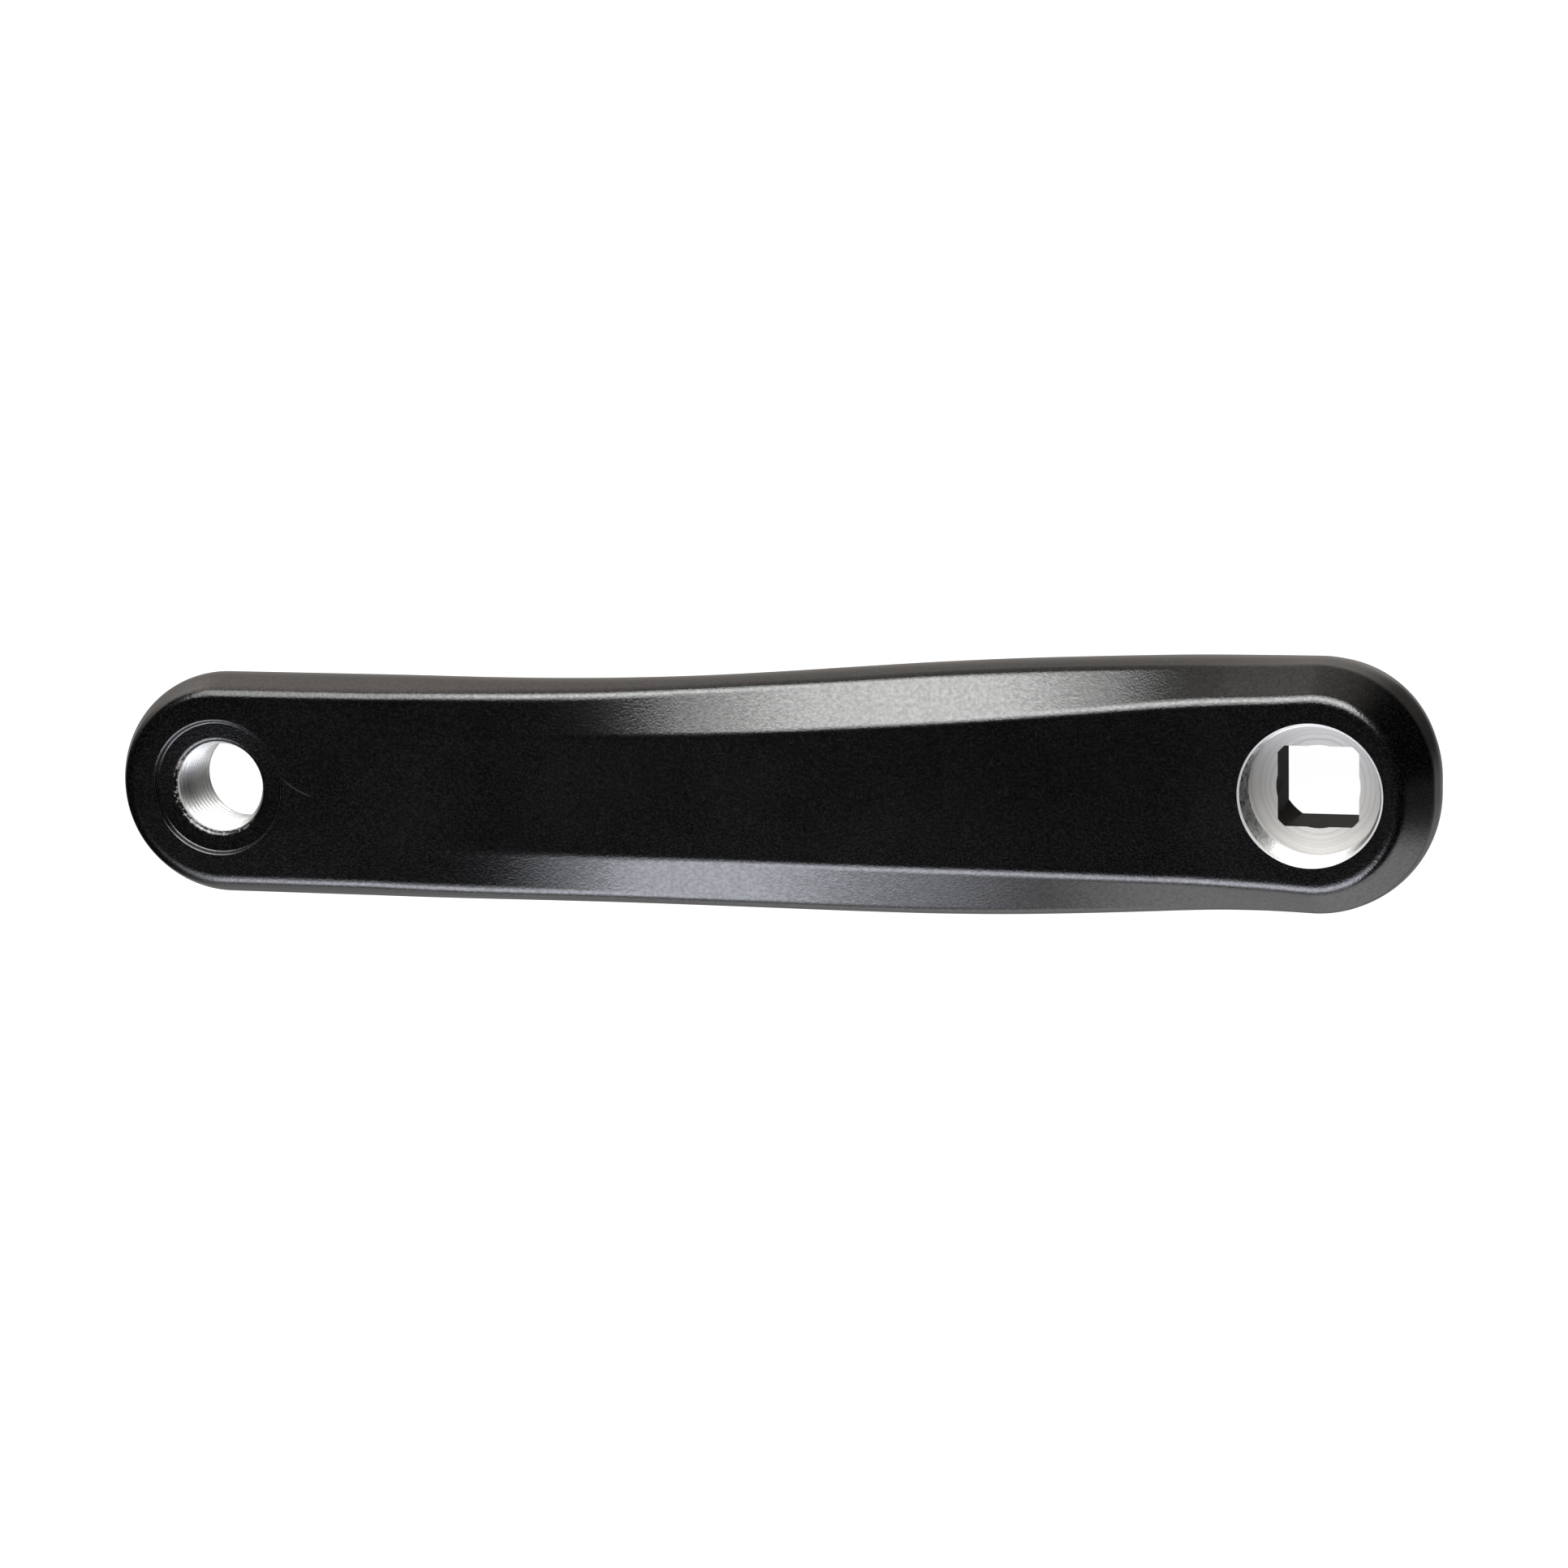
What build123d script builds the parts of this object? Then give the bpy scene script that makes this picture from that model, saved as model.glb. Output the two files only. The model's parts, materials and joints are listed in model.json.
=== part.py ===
"""Left-hand bicycle crank arm, forged in one piece from aluminium.

Frame: +Z runs outward along the spindle axis, the arm reaches to the pedal along -X.
The origin is on the spindle axis, in the back face of the spindle boss. Sizes in mm.
"""

import os
from math import atan, atan2, cos, radians, sin, sqrt, tan

from build123d import *

# Main sizes of the arm
CRANK_LENGTH = 170.0
BOSS_THICKNESS = 22.4
PEDAL_THICKNESS = 15.1
PEDAL_OFFSET = 18.0
BOSS_HALF_WIDTH = 19.6
PEDAL_HALF_WIDTH = 17.5
BOSS_END_FLAT = 2.3

# Square taper socket for the bottom bracket spindle
TAPER_SMALL_FLATS = 12.55
TAPER_ANGLE = 2.0
TAPER_CORNER_DIAMETER = 16.3
TAPER_PILOT_DIAMETER = 13.0

# Extractor thread M22 x 1, drawn as a plain bore of its core diameter
EXTRACTOR_CORE_DIAMETER = 20.92
EXTRACTOR_DEPTH = 8.6
EXTRACTOR_CHAMFER = 0.7

# Pedal thread 9/16 inch x 20 TPI, drawn as a plain bore of its core diameter
PEDAL_CORE_DIAMETER = 13.1
PEDAL_SEAT_DIAMETER = 21.0
PEDAL_SEAT_DEPTH = 0.9
PEDAL_SEAT_ROUND = 0.4
PEDAL_CHAMFER = 1.4
PEDAL_REAR_CHAMFER = 0.7

# Side view: a straight pedal end, then the outer face and the back each bend down over
# a wide crest arc, a straight length and a hollow arc; the crest takes up the rest of the run
NECK_REACH = 25.0
FACE_BEND_LAG = 12.0
FACE_BEND_END = 12.0
FACE_STRAIGHT = 19.6
FACE_HOLLOW_RADIUS = 45.0
BACK_BEND_LAG = 17.0
BACK_BEND_END = 4.0
BACK_STRAIGHT = 68.0
BACK_HOLLOW_RADIUS = 45.0

# Cross-section: flat table, twisted bevel, barrelled side, rounded edges, chamfered back
TABLE_NECK_HALF_WIDTH = 8.8
TABLE_BOSS_HALF_WIDTH = 15.05
BEVEL_DROP = 5.7
SIDE_NECK_BULGE = 2.05
SIDE_BOSS_BULGE = 0.3
SIDE_CROWN = 0.4
BACK_INSET = 1.6
WIDEST_BELOW_PEDAL_FACE = 5.5
WIDEST_BELOW_BOSS_FACE = 11.0
EDGE_RADIUS = 2.4
TABLE_EDGE_RADIUS = 2.8
TABLE_EDGE_MIN_BLEND = 0.6
SIDE_BLEND = 2.6
BACK_CHAMFER = 1.6

# Stations from neck to spindle: share of the way left to the spindle, then the share
# reached of the width change, the table's widening, the bevel's drop, the widest line's drop
# and the shoulder's way out to the side
STATIONS = (
    (1.000, 0.00, 0.00, 0.00, 0.00, 0.00),
    (0.950, -0.01, 0.00, 0.00, 0.00, 0.11),
    (0.895, -0.04, 0.02, 0.03, 0.01, 0.24),
    (0.810, -0.05, 0.04, 0.14, 0.04, 0.37),
    (0.727, 0.02, 0.09, 0.28, 0.06, 0.44),
    (0.645, 0.17, 0.14, 0.42, 0.12, 0.55),
    (0.563, 0.41, 0.21, 0.54, 0.23, 0.57),
    (0.480, 0.69, 0.30, 0.63, 0.37, 0.58),
    (0.400, 0.93, 0.39, 0.70, 0.48, 0.64),
    (0.317, 1.09, 0.50, 0.76, 0.53, 0.65),
    (0.235, 1.13, 0.63, 0.82, 0.57, 0.65),
    (0.152, 1.10, 0.77, 0.88, 0.66, 0.66),
    (0.088, 1.04, 0.87, 0.94, 0.80, 0.72),
    (0.035, 1.01, 0.94, 0.98, 0.94, 0.87),
    (0.000, 1.00, 1.00, 1.00, 1.00, 1.00),
)

PEDAL_X = -CRANK_LENGTH
NECK_X = PEDAL_X + NECK_REACH
PEDAL_FACE_Z = BOSS_THICKNESS + PEDAL_OFFSET
PEDAL_BACK_Z = PEDAL_FACE_Z - PEDAL_THICKNESS
CUT_MARGIN = 5.0


def bend_height(x, start, end, high, low, straight, hollow):
    """Height at x of a line that leaves `high`, bends down over two arcs and joins `low`."""
    run = end - start
    angle = 2 * atan((high - low) / (run + straight))
    crest = (run - straight * cos(angle)) / sin(angle) - hollow
    crest_end = start + crest * sin(angle)
    hollow_start = end - hollow * sin(angle)
    if x <= start:
        return high
    if x <= crest_end:
        return high - crest + sqrt(crest**2 - (x - start) ** 2)
    if x <= hollow_start:
        return high - crest * (1 - cos(angle)) - (x - crest_end) * tan(angle)
    if x <= end:
        return low + hollow - sqrt(hollow**2 - (end - x) ** 2)
    return low


def face_height(x):
    return bend_height(x, NECK_X + FACE_BEND_LAG, -FACE_BEND_END, PEDAL_FACE_Z, BOSS_THICKNESS,
                       FACE_STRAIGHT, FACE_HOLLOW_RADIUS)


def back_height(x):
    return bend_height(x, NECK_X + BACK_BEND_LAG, -BACK_BEND_END, PEDAL_BACK_Z, 0.0,
                       BACK_STRAIGHT, BACK_HOLLOW_RADIUS)


def between(start, end, share):
    return start + (end - start) * share


def half_corners(x, width_share, table_share, bevel_share, widest_share, bulge_share):
    """Sharp corners (y, z) of one half of a section and the blend length at each."""
    half_width = between(PEDAL_HALF_WIDTH, BOSS_HALF_WIDTH, width_share)
    table = between(TABLE_NECK_HALF_WIDTH, TABLE_BOSS_HALF_WIDTH, table_share)
    drop = BEVEL_DROP * bevel_share
    widest = between(WIDEST_BELOW_PEDAL_FACE, WIDEST_BELOW_BOSS_FACE, widest_share)
    face = face_height(x)
    bulge = between(SIDE_NECK_BULGE, SIDE_BOSS_BULGE, bulge_share)
    shoulder_y = half_width - bulge
    tilt = atan2(drop, shoulder_y - table)
    draft = atan2(widest - drop, bulge + SIDE_CROWN)
    table_blend = max(TABLE_EDGE_MIN_BLEND, TABLE_EDGE_RADIUS * tan(tilt / 2))
    edge_blend = EDGE_RADIUS * tan((draft - tilt) / 2)
    back = back_height(x)
    back_y = half_width - BACK_INSET
    return (
        ((table, face), table_blend),
        ((shoulder_y, face - drop), edge_blend),
        ((half_width + SIDE_CROWN, face - widest), SIDE_BLEND),
        ((back_y, back + BACK_CHAMFER), 0.0),
        ((back_y - BACK_CHAMFER, back), 0.0),
    )


def section_edges(x, corners):
    """Lines through the corners, from the first end point to the last, with blends at some."""
    def point(corner):
        return Vector(x, corner[0], corner[1])

    edges = []
    last = point(corners[0][0])
    for (here, blend), (after, _) in zip(corners[1:-1], corners[2:]):
        middle = point(here)
        entry = middle + (last - middle).normalized() * blend
        edges.append(Edge.make_line(last, entry))
        last = entry
        if blend:
            last = middle + (point(after) - middle).normalized() * blend
            edges.append(Edge.make_bezier(entry, middle, last))
    edges.append(Edge.make_line(last, point(corners[-1][0])))
    return edges


def half_section(x, shares, inset):
    """Part of the section at x from `inset` outward, moved to stand against the Z axis."""
    half = [((y - inset, z), blend) for (y, z), blend in half_corners(x, *shares)]
    top = ((0.0, face_height(x)), 0.0)
    bottom = ((0.0, back_height(x)), 0.0)
    edges = section_edges(0.0, [top, *half, bottom])
    edges.append(Edge.make_line(edges[-1] @ 1, edges[0] @ 0))
    return Face(Wire(edges))


def full_section(x, shares):
    """Whole section, starting and ending in the middle of the back."""
    half = half_corners(x, *shares)
    other = [((-y, z), blend) for (y, z), blend in half]
    middle = ((0.0, back_height(x)), 0.0)
    edges = section_edges(x, [middle, *other[::-1], *half, middle])
    return Face(Wire(edges))


def pedal_end(shares):
    """Section turned half round about the pedal axis."""
    section = half_section(PEDAL_X, shares, 0.0)
    return Pos(PEDAL_X, 0, 0) * revolve(section, axis=Axis.Z, revolution_arc=180)


def boss_end(shares):
    """Section turned over two quarters that stand apart by the flat at the tip."""
    inset = BOSS_END_FLAT / 2
    section = half_section(0.0, shares, inset)
    quarter = Pos(0, inset, 0) * revolve(section, axis=Axis.Z, revolution_arc=-90)
    tip = Pos(0, -inset, 0) * Rot(0, 0, -90) * section
    return quarter + mirror(quarter, about=Plane.XZ) + Solid.extrude(tip, Vector(0, BOSS_END_FLAT, 0))


def tapered_square():
    """Square socket, wider towards the back, its corners cut by a cylinder."""
    floor = BOSS_THICKNESS - EXTRACTOR_DEPTH
    spread = 2 * tan(radians(TAPER_ANGLE))
    low = -CUT_MARGIN
    high = floor + CUT_MARGIN
    low_flats = TAPER_SMALL_FLATS + spread * (floor - low)
    high_flats = TAPER_SMALL_FLATS - spread * (high - floor)
    square = loft([
        Pos(0, 0, low) * Rectangle(low_flats, low_flats),
        Pos(0, 0, high) * Rectangle(high_flats, high_flats),
    ])
    height = high - low
    middle = Pos(0, 0, low + height / 2)
    corner = middle * Cylinder(TAPER_CORNER_DIAMETER / 2, height)
    pilot = middle * Cylinder(TAPER_PILOT_DIAMETER / 2, height)
    return (square & corner) + pilot


def turned(profile, x):
    """Solid of revolution about the vertical axis at x, from (radius, height) points."""
    outline = Polyline(*[(r, 0, z) for r, z in profile], close=True)
    return Pos(x, 0, 0) * revolve(make_face(outline), axis=Axis.Z)


def extractor_cut():
    core = EXTRACTOR_CORE_DIAMETER / 2
    floor = BOSS_THICKNESS - EXTRACTOR_DEPTH
    mouth = core + EXTRACTOR_CHAMFER
    top = BOSS_THICKNESS + CUT_MARGIN
    return turned((
        (0, floor),
        (core, floor),
        (core, BOSS_THICKNESS - EXTRACTOR_CHAMFER),
        (mouth, BOSS_THICKNESS),
        (mouth, top),
        (0, top),
    ), 0)


def pedal_cut():
    core = PEDAL_CORE_DIAMETER / 2
    seat = PEDAL_FACE_Z - PEDAL_SEAT_DEPTH
    seat_radius = PEDAL_SEAT_DIAMETER / 2
    bottom = PEDAL_BACK_Z - CUT_MARGIN
    rear = core + PEDAL_REAR_CHAMFER
    top = PEDAL_FACE_Z + CUT_MARGIN
    return turned((
        (0, bottom),
        (rear, bottom),
        (rear, PEDAL_BACK_Z),
        (core, PEDAL_BACK_Z + PEDAL_REAR_CHAMFER),
        (core, seat - PEDAL_CHAMFER),
        (core + PEDAL_CHAMFER, seat),
        (seat_radius - PEDAL_SEAT_ROUND, seat),
        (seat_radius, PEDAL_FACE_Z - PEDAL_SEAT_ROUND),
        (seat_radius + PEDAL_SEAT_ROUND, PEDAL_FACE_Z),
        (seat_radius + PEDAL_SEAT_ROUND, top),
        (0, top),
    ), PEDAL_X)


def crank_arm():
    stations = [(NECK_X * row[0], row[1:]) for row in STATIONS]
    pedal_shares = STATIONS[0][1:]
    boss_shares = STATIONS[-1][1:]
    neck = full_section(NECK_X, pedal_shares)
    straight = Solid.extrude(neck, Vector(PEDAL_X - NECK_X, 0, 0))
    shaft = loft([full_section(x, shares) for x, shares in stations])
    body = shaft + straight + pedal_end(pedal_shares) + boss_end(boss_shares)
    return body - extractor_cut() - tapered_square() - pedal_cut()


os.makedirs("parts", exist_ok=True)
arm = crank_arm()
arm.label = "crank_arm"
export_step(arm, "parts/crank_arm.step")
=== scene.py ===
"""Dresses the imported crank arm: satin black forging, bare threaded bores and a white studio.

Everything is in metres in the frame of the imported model. The spindle axis is Z at the origin and
the arm reaches to the pedal along -X.
"""

import json
from math import acos, atan, atan2, cos, pi, radians, sin, sqrt, tan

import bmesh
import bpy
import numpy as np
from mathutils import Matrix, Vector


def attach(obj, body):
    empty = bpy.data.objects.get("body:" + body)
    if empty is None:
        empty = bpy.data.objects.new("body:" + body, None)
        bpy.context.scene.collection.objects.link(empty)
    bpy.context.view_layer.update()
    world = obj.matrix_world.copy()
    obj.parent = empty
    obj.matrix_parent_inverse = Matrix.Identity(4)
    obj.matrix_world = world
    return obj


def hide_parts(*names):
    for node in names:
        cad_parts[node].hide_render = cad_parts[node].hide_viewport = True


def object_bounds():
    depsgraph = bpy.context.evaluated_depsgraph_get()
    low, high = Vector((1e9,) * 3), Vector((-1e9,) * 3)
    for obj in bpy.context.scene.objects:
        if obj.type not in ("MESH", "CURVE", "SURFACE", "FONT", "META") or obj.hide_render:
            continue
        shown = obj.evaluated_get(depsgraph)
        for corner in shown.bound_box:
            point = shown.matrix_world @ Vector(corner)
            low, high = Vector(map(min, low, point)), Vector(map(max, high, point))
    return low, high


bl_info = {
    "name": "Crank Arm",
    "version": (1, 0, 0),
    "blender": (4, 5, 0),
    "location": "View3D > Sidebar > Crank Arm",
    "description": "Builds a forged bicycle crank arm, its threads, its finish and a studio",
    "category": "Add Mesh",
}

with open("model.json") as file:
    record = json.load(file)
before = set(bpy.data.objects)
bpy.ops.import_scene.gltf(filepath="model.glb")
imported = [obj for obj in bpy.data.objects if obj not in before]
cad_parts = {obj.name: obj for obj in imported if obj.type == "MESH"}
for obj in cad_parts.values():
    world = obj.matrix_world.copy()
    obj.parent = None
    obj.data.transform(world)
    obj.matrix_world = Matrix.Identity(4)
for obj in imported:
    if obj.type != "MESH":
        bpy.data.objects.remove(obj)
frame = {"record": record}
CAD_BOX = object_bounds()
MOUNTS = {mount["name"]: mount for mount in frame["record"]["mounts"]}

MM = 0.001
BODY = "root"
CAD_NODE = "crank_arm"

# Side view: the outer face and the back each bend down over a crest arc, a straight and a hollow arc
NECK_REACH = 25.0 * MM
FACE_BEND_LAG = 12.0 * MM
FACE_BEND_END = 12.0 * MM
FACE_STRAIGHT = 19.6 * MM
FACE_HOLLOW_RADIUS = 45.0 * MM
BACK_BEND_LAG = 17.0 * MM
BACK_BEND_END = 4.0 * MM
BACK_STRAIGHT = 68.0 * MM
BACK_HOLLOW_RADIUS = 45.0 * MM

# Cross-section: flat table, twisted bevel, barrelled side, rounded edges
TABLE_NECK_HALF_WIDTH = 8.8 * MM
TABLE_BOSS_HALF_WIDTH = 15.05 * MM
SIDE_NECK_BULGE = 2.05 * MM
SIDE_BOSS_BULGE = 0.3 * MM
SIDE_CROWN = 0.4 * MM
BACK_INSET = 1.6 * MM
BACK_EDGE = 1.6 * MM
WIDEST_BELOW_PEDAL_FACE = 5.5 * MM
WIDEST_BELOW_BOSS_FACE = 11.0 * MM
EDGE_RADIUS = 2.4 * MM
TABLE_EDGE_RADIUS = 2.8 * MM
TABLE_EDGE_MIN_BLEND = 0.6 * MM
SIDE_BLEND = 2.6 * MM

# Stations from neck to spindle: share of the way left to the spindle, then the share
# reached of the width change, the table's widening, the bevel's drop, the widest line's drop
# and the shoulder's way out to the side
STATIONS = (
    (1.000, 0.00, 0.00, 0.00, 0.00, 0.00),
    (0.950, -0.01, 0.00, 0.00, 0.00, 0.11),
    (0.895, -0.04, 0.02, 0.03, 0.01, 0.24),
    (0.810, -0.05, 0.04, 0.14, 0.04, 0.37),
    (0.727, 0.02, 0.09, 0.28, 0.06, 0.44),
    (0.645, 0.17, 0.14, 0.42, 0.12, 0.55),
    (0.563, 0.41, 0.21, 0.54, 0.23, 0.57),
    (0.480, 0.69, 0.30, 0.63, 0.37, 0.58),
    (0.400, 0.93, 0.39, 0.70, 0.48, 0.64),
    (0.317, 1.09, 0.50, 0.76, 0.53, 0.65),
    (0.235, 1.13, 0.63, 0.82, 0.57, 0.65),
    (0.152, 1.10, 0.77, 0.88, 0.66, 0.66),
    (0.088, 1.04, 0.87, 0.94, 0.80, 0.72),
    (0.035, 1.01, 0.94, 0.98, 0.94, 0.87),
    (0.000, 1.00, 1.00, 1.00, 1.00, 1.00),
)

# Mesh steps of the forging
SHAFT_RINGS = 194
NECK_RINGS = 26
END_STEPS = 72
TABLE_SPLITS = (0.35, 0.70, 0.97, 1.0)
BACK_SPLITS = (0.03, 0.35, 0.70, 1.0)
LINE_SPLITS = (0.03, 0.35, 0.65, 0.97, 1.0)
BLEND_STEPS = 8
WELD_DISTANCE = 0.002 * MM
SHARP_ANGLE = radians(30)

# Bores
CUT_MARGIN = 5.0 * MM
MOUTH_LIP = 0.15 * MM
TURN_STEPS = 180
ROUND_STEPS = 7
SOCKET_LEVELS = 9
SOCKET_SCALLOP_STEPS = 3
SOCKET_FLAT_STEPS = 6
SOCKET_CORNER_STEPS = 5
REGION_SLACK = 0.02 * MM
PAINTED, TURNED, SOCKET = range(3)

# Thread ridges
THREAD_STEPS = 96
THREAD_SINK = 0.05 * MM
THREAD_BASE_SHARE = 0.86
THREAD_CREST_SHARE = 0.14
THREAD_RUN_OUT_TURNS = 0.8

# Noise: how much detail a pattern has, how rough it is and the span that most of its values lie in
PLAIN_DETAIL = 1.0
FINE_DETAIL = 2.0
RICH_DETAIL = 3.0
EVEN_ROUGHNESS = 0.5
NOISE_SPAN = (0.3, 0.7)

# Black finish
PAINT_IOR = 2.05
GRAIN_HEIGHT = 0.026 * MM
GRAIN_DETAIL = 1.5
GRAIN_ROUGHNESS = 0.6
SPECK_SIZE = 0.3 * MM
SPECK_RANGE = (0.45, 0.85)
CLOUD_SIZE = 16.0 * MM
SHEEN_SIZE = 0.6 * MM
SHEEN_RANGE = (0.41, 0.59)
ROUGHNESS_SPREAD = 0.015

# Wear round the pedal hole, in places from the pedal axis
WORN_COLOR = (0.30, 0.28, 0.27)
SCRATCH_CENTRE = (18.9 * MM, 10.0 * MM)
SCRATCH_RADIUS = 11.4 * MM
SCRATCH_WIDTH = 0.14 * MM
SCRATCH_SPAN = (10.6 * MM, 16.3 * MM)
SCRATCH_LEVEL = 0.09
FLECK_SIZE = 0.55 * MM
FLECK_RANGE = (0.52, 0.60)
FLECK_RING = 0.75 * MM
FLECK_SIDE = (1.0 * MM, -3.0 * MM)

# Walls of the square socket
SOCKET_ROUGHNESS = 0.55
SOCKET_SHEEN = 0.12
STREAK_SIZE = 1.5 * MM
STREAK_STRETCH = (1.0, 1.0, 0.15)

# Bare aluminium
SPINDLE_PLACE = (0.0, 0.0)
WITHOUT_HEIGHT = (1.0, 1.0, 0.0)
TURNING_PITCH = 0.55 * MM
TURNING_HEIGHT = 0.035 * MM
TURNING_SPREAD = 0.6
WANDER_SIZE = 5.5 * MM
RING_WANDER = 1.0
RING_PITCH = 0.8 * MM
RING_RANGE = (0.45, 0.65)
RING_SHADE = 0.86
METAL_SPREAD = 0.06
TURNED_METALLIC = 0.55
GRIT_SIZE = MM / 2.6
GRIT_HEIGHT = 0.02 * MM
# Dark mottled patches on the extractor thread, stronger towards the pedal side
DARK_PATCH_SIZE = 1.0 * MM
DARK_PATCH_RANGE = (0.44, 0.64)
DARK_PATCH_COLOR = (0.05, 0.05, 0.05)
DARK_PATCH_LEVEL = 0.7
DARK_PATCH_SIDE = (-6.0 * MM, -9.5 * MM)

# Camera as the photograph has it
CAMERA_PLACE = (0.1103, 0.1272, 0.72421)
CAMERA_TURNS = (("Z", radians(1.19)), ("X", radians(9.932)), ("Y", radians(-15.36)))
CAMERA_SENSOR = 36.0
CAMERA_LENS = 108.75
CAMERA_NEAR = 0.01

# Floor
WHITE = (1.0, 1.0, 1.0)
FLOOR_HALF = 6.0
FLOOR_GLOW = 0.97
FLOOR_ROUGHNESS = 1.0
FLOOR_SHEEN = 0.0

# Strip lights, each brightest along its middle: for every layer its place along the arm, length,
# height and share of the brightness
STRIP_DISTANCE = 0.9
STRIP_ANGLE = radians(47.5)
LAYER_GAP = 0.01
UPPER_COLOR = (1.0, 1.0, 0.99)
LOWER_COLOR = (0.89, 0.91, 1.0)
UPPER_LAYERS = (
    (-0.2, 1.1, 0.8, 0.45),
    (-0.05, 0.8, 0.4, 0.35),
    (0.0, 0.7, 0.3, 0.2),
)
LOWER_LAYERS = (
    (-0.25, 1.0, 0.8, 0.35),
    (-0.15, 0.8, 0.4, 0.65),
)

# Surroundings that reflections show: compass direction in degrees from -X round by -Y, +X and +Y,
# then the brightness at the horizon and below it
FULL_CIRCLE = 360
RAMP_MIDDLE = 0.5
SURROUNDINGS = (
    (-180, 0.0, 0.4),
    (-140, 0.0, 0.3),
    (-90, 0.9, 0.3),
    (-45, 0.9, 0.3),
    (-20, 0.1, 0.2),
    (0, 0.0, 0.05),
    (45, 0.0, 0.1),
    (90, 0.3, 0.5),
    (130, 1.0, 0.5),
    (180, 0.0, 0.4),
)
SURROUNDINGS_WARM = (1.0, 0.93, 0.88)
SURROUNDINGS_HEIGHTS = (0.0, 0.35)
WARM_SIDES = (-0.2, 0.2)
BELOW_HEIGHTS = (-0.80, -0.35)
AMBIENT = 0.45


def metres(mount, key):
    return MOUNTS[mount]["dims"][key] * MM


class CrankFormSettings(bpy.types.PropertyGroup):
    """Main sizes of the forging."""

    crank_length: bpy.props.FloatProperty(
        name="Crank Length", description="From the spindle axis to the pedal axis",
        default=-MOUNTS["pedal_thread"]["pos_m"][0], unit="LENGTH")
    boss_thickness: bpy.props.FloatProperty(
        name="Boss Thickness", description="Thickness at the spindle",
        default=22.4 * MM, unit="LENGTH")
    pedal_thickness: bpy.props.FloatProperty(
        name="Pedal End Thickness", description="Thickness at the pedal",
        default=15.1 * MM, unit="LENGTH")
    pedal_offset: bpy.props.FloatProperty(
        name="Pedal Offset", description="How far the pedal's face stands outside the boss's face",
        default=18.0 * MM, unit="LENGTH")
    boss_half_width: bpy.props.FloatProperty(
        name="Boss Half Width", description="Half of the width at the spindle",
        default=19.6 * MM, unit="LENGTH")
    pedal_half_width: bpy.props.FloatProperty(
        name="Pedal End Half Width", description="Half of the width at the pedal",
        default=17.5 * MM, unit="LENGTH")
    boss_end_flat: bpy.props.FloatProperty(
        name="Boss End Flat", description="Flat between the two rounded corners of the boss end",
        default=2.3 * MM, unit="LENGTH")
    bevel_drop: bpy.props.FloatProperty(
        name="Bevel Drop", description="Depth that the twisted bevel reaches at the boss",
        default=5.7 * MM, unit="LENGTH")


class CrankBoreSettings(bpy.types.PropertyGroup):
    """Sizes of the two threads and the square socket."""

    extractor_core: bpy.props.FloatProperty(
        name="Extractor Core Radius", description="Radius at the crests of the extractor thread",
        default=metres("extractor_thread", "r_mm"), unit="LENGTH")
    extractor_root: bpy.props.FloatProperty(
        name="Extractor Root Radius", description="Radius at the roots of the extractor thread",
        default=11.0 * MM, unit="LENGTH")
    extractor_pitch: bpy.props.FloatProperty(
        name="Extractor Pitch", description="Rise of the extractor thread in one turn",
        default=1.0 * MM, unit="LENGTH")
    extractor_depth: bpy.props.FloatProperty(
        name="Extractor Depth", description="Depth of the extractor bore",
        default=8.6 * MM, unit="LENGTH")
    extractor_mouth: bpy.props.FloatProperty(
        name="Extractor Mouth", description="Radius of the bevelled mouth",
        default=11.16 * MM, unit="LENGTH")
    pedal_core: bpy.props.FloatProperty(
        name="Pedal Core Radius", description="Radius at the crests of the pedal thread",
        default=metres("pedal_thread", "r_mm"), unit="LENGTH")
    pedal_root: bpy.props.FloatProperty(
        name="Pedal Root Radius", description="Radius at the roots of the pedal thread",
        default=7.15 * MM, unit="LENGTH")
    pedal_pitch: bpy.props.FloatProperty(
        name="Pedal Pitch", description="Rise of the pedal thread in one turn",
        default=1.27 * MM, unit="LENGTH")
    seat_radius: bpy.props.FloatProperty(
        name="Pedal Seat Radius", description="Radius of the recess round the pedal hole",
        default=10.5 * MM, unit="LENGTH")
    seat_depth: bpy.props.FloatProperty(
        name="Pedal Seat Depth", description="Depth of the recess round the pedal hole",
        default=0.9 * MM, unit="LENGTH")
    seat_round: bpy.props.FloatProperty(
        name="Pedal Seat Edge", description="Width of the recess's broken edges",
        default=0.4 * MM, unit="LENGTH")
    pedal_chamfer: bpy.props.FloatProperty(
        name="Pedal Chamfer", description="Chamfer at the outer end of the pedal thread",
        default=1.4 * MM, unit="LENGTH")
    pedal_rear_chamfer: bpy.props.FloatProperty(
        name="Pedal Rear Chamfer", description="Chamfer at the inner end of the pedal thread",
        default=0.7 * MM, unit="LENGTH")
    taper_flats: bpy.props.FloatProperty(
        name="Taper Flats", description="Width across the socket's flats at its small end",
        default=12.55 * MM, unit="LENGTH")
    taper_angle: bpy.props.FloatProperty(
        name="Taper Angle", description="Slope of each flat of the socket",
        default=radians(2.0), subtype="ANGLE")
    taper_corner: bpy.props.FloatProperty(
        name="Taper Corner Radius", description="Radius that cuts the socket's corners",
        default=8.15 * MM, unit="LENGTH")
    taper_pilot: bpy.props.FloatProperty(
        name="Taper Pilot Radius", description="Radius of the pilot hole of the socket",
        default=6.5 * MM, unit="LENGTH")


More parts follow.
